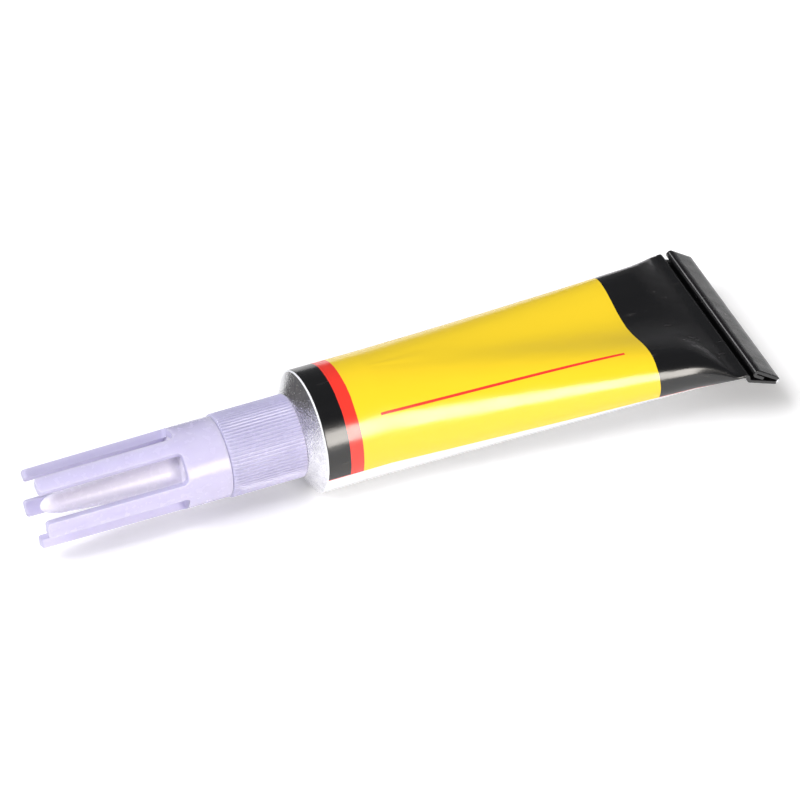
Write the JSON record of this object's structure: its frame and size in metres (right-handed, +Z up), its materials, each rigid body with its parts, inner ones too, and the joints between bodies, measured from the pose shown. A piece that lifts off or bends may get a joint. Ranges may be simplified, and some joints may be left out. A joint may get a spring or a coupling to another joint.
{
  "type": "glue tube",
  "caption": "Small aluminium squeeze tube with a folded end, ribbed screw-on nozzle and slotted push-on cap with a piercing point, for instant adhesive.",
  "frame": {"origin": "on the tube's axis where the round sleeve starts, behind the rim of the shoulder", "axes": "+X along the axis towards the folded end, so the cap points along -X; Y across the fold; +Z up as the tube lies"},
  "size_m": [0.0812, 0.022, 0.0135],
  "materials": {
    "enamelled_aluminium": "gloss enamel",
    "latex": "matte",
    "adhesive": "clear liquid",
    "nozzle_plastic": "natural polyethylene",
    "cap_plastic": "natural polyethylene"
  },
  "bodies": {
    "tube": {"tube_body": "enamelled_aluminium", "end_seal": "latex", "adhesive_fill": "adhesive"},
    "nozzle": {"nozzle": "nozzle_plastic"},
    "cap": {"cap": "cap_plastic"}
  },
  "joints": [
    {"name": "nozzle_turn", "type": "hinge", "parent": "tube", "child": "nozzle", "pos_m": [0, 0, 0], "axis": [-1, 0, 0], "range_deg": [0, 720]},
    {"name": "cap_pull", "type": "slide", "parent": "nozzle", "child": "cap", "axis": [-1, 0, 0], "range_m": [0, 0.02]}
  ]
}
